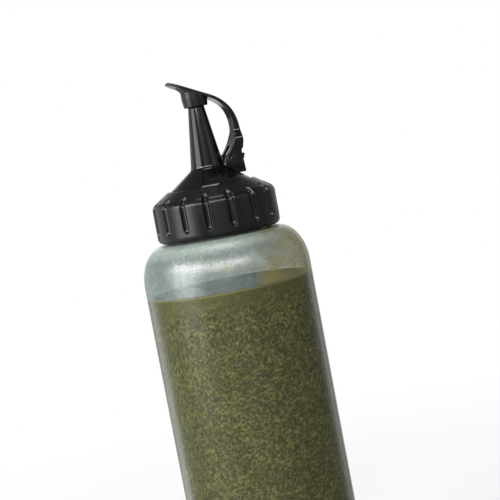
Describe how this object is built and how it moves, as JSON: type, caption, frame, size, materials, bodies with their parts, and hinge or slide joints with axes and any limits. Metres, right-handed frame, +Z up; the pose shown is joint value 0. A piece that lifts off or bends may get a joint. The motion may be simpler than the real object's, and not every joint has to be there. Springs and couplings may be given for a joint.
{
  "type": "squeeze sauce bottle",
  "caption": "Squeeze sauce bottle with a fluted screw collar, a cone nozzle and a hinged flip cap that covers the spout's tip.",
  "frame": {"origin": "centre of the bottle's base, on the surface it stands on", "axes": "+Z up the bottle's axis to the spout, +X from the axis towards the cap's hinge, Y along the hinge pin"},
  "size_m": [0.0604, 0.0604, 0.2023],
  "materials": {
    "squeeze_wall": "satin",
    "green_sauce": "gloss",
    "soft_seal": "matte",
    "nozzle_black": "gloss",
    "collar_black": "satin",
    "cap_black": "satin",
    "pin_black": "gloss"
  },
  "bodies": {
    "bottle_body": {"bottle": "squeeze_wall", "sauce": "green_sauce"},
    "nozzle_body": {"nozzle": "nozzle_black", "neck_seal": "soft_seal"},
    "collar_body": {"screw_collar": "collar_black"},
    "cap_body": {"flip_cap": "cap_black", "tip_seal": "soft_seal", "hinge_pin": "pin_black"}
  },
  "joints": [
    {"name": "lid_lift", "type": "slide", "parent": "bottle_body", "child": "nozzle_body", "axis": [0, 0, 1], "range_m": [0, 0.01065]},
    {"name": "collar_turn", "type": "hinge", "parent": "nozzle_body", "child": "collar_body", "pos_m": [0, 0, 0.155], "axis": [0, 0, 1], "range_deg": [0, 900]},
    {"name": "cap_flip", "type": "hinge", "parent": "nozzle_body", "child": "cap_body", "pos_m": [0.0094, 0, 0.17111], "axis": [0, 1, 0], "range_deg": [0, 105]}
  ],
  "couplings": [
    {"joint": "lid_lift", "follows": "collar_turn", "m_per_rad": 0.0006737}
  ]
}
